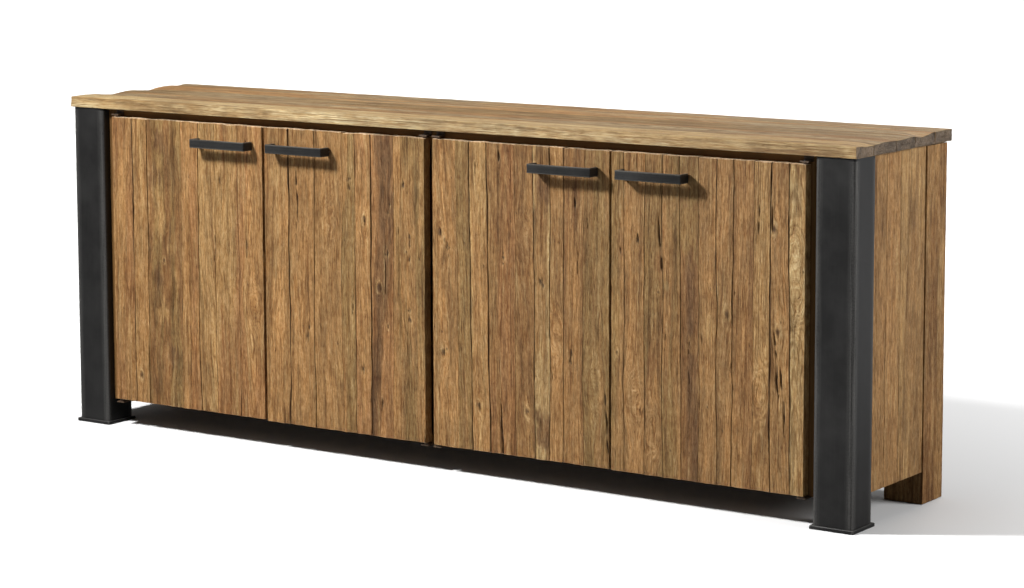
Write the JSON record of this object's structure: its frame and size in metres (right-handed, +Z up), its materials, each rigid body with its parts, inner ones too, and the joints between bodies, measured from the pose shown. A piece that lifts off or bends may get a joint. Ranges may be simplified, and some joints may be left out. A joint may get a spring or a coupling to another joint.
{
  "type": "sideboard buffet",
  "caption": "Low wide sideboard with plank doors on pivots, bar handles, a glued board top, steel tube front legs and wooden rear posts.",
  "frame": {"origin": "on the floor, middle of the overall width and depth, handles included", "axes": "+X to the viewer's right along the width, +Y from the doors to the back, +Z up"},
  "size_m": [2.25, 0.483, 0.84],
  "materials": {
    "reclaimed_teak_top": "reclaimed teak, brushed and matt waxed",
    "reclaimed_teak_doors": "reclaimed teak, brushed and matt waxed",
    "reclaimed_teak_side": "reclaimed teak, brushed and matt waxed",
    "reclaimed_teak_post": "reclaimed teak, rough sawn, matt",
    "stained_case_wood": "dark brown stain, matt",
    "shelf_wood": "brown stain, satin",
    "back_plywood": "brown stained plywood, matt",
    "blackened_steel": "blackened and brushed steel, clear lacquer",
    "handle_steel": "blackened steel, satin",
    "zinc_steel": "zinc plated",
    "nickel_pins": "nickel plated",
    "catch_plastic": "moulded, matt brown",
    "bush_nylon": "moulded, matt black"
  },
  "bodies": {
    "carcass": {"top_board_1": "reclaimed_teak_top", "top_board_2": "reclaimed_teak_top", "top_board_3": "reclaimed_teak_top", "top_board_4": "reclaimed_teak_top", "top_board_5": "reclaimed_teak_top", "front_leg_left": "blackened_steel", "foot_plate_left": "blackened_steel", "leg_top_plate_left": "blackened_steel", "rear_post_left": "reclaimed_teak_post", "side_plank_left_1": "reclaimed_teak_side", "side_plank_left_2": "reclaimed_teak_side", "side_plank_left_3": "reclaimed_teak_side", "side_rails_left": "stained_case_wood", "inner_side_left": "stained_case_wood", "back_panel_left": "back_plywood", "shelf_left": "shelf_wood", "front_leg_right": "blackened_steel", "foot_plate_right": "blackened_steel", "leg_top_plate_right": "blackened_steel", "rear_post_right": "reclaimed_teak_post", "side_plank_right_1": "reclaimed_teak_side", "side_plank_right_2": "reclaimed_teak_side", "side_plank_right_3": "reclaimed_teak_side", "side_rails_right": "stained_case_wood", "inner_side_right": "stained_case_wood", "back_panel_right": "back_plywood", "shelf_right": "shelf_wood", "bottom_panel": "stained_case_wood", "centre_partition": "stained_case_wood", "top_rails": "stained_case_wood", "shelf_pins": "nickel_pins", "magnet_catches": "catch_plastic", "pivot_brackets": "blackened_steel", "pivot_pins": "zinc_steel", "case_screws": "zinc_steel", "bracket_screws": "zinc_steel"},
    "door_1": {"door_1_planks": "reclaimed_teak_doors", "door_1_battens": "stained_case_wood", "handle_1": "handle_steel", "handle_screws_1": "zinc_steel", "pivot_bushes_1": "bush_nylon", "strike_plate_1": "zinc_steel"},
    "door_2": {"door_2_planks": "reclaimed_teak_doors", "door_2_battens": "stained_case_wood", "handle_2": "handle_steel", "handle_screws_2": "zinc_steel", "pivot_bushes_2": "bush_nylon", "strike_plate_2": "zinc_steel"},
    "door_3": {"door_3_planks": "reclaimed_teak_doors", "door_3_battens": "stained_case_wood", "handle_3": "handle_steel", "handle_screws_3": "zinc_steel", "pivot_bushes_3": "bush_nylon", "strike_plate_3": "zinc_steel"},
    "door_4": {"door_4_planks": "reclaimed_teak_doors", "door_4_battens": "stained_case_wood", "handle_4": "handle_steel", "handle_screws_4": "zinc_steel", "pivot_bushes_4": "bush_nylon", "strike_plate_4": "zinc_steel"}
  },
  "joints": [
    {"name": "door_1_hinge", "type": "hinge", "parent": "carcass", "child": "door_1", "pos_m": [-0.9805, -0.1935, 0.43075], "axis": [0, 0, -1], "range_deg": [0, 110]},
    {"name": "door_2_hinge", "type": "hinge", "parent": "carcass", "child": "door_2", "pos_m": [-0.0195, -0.1935, 0.43075], "axis": [0, 0, 1], "range_deg": [0, 80]},
    {"name": "door_3_hinge", "type": "hinge", "parent": "carcass", "child": "door_3", "pos_m": [0.0175, -0.1935, 0.43075], "axis": [0, 0, -1], "range_deg": [0, 80]},
    {"name": "door_4_hinge", "type": "hinge", "parent": "carcass", "child": "door_4", "pos_m": [0.9915, -0.1935, 0.43075], "axis": [0, 0, 1], "range_deg": [0, 110]}
  ]
}
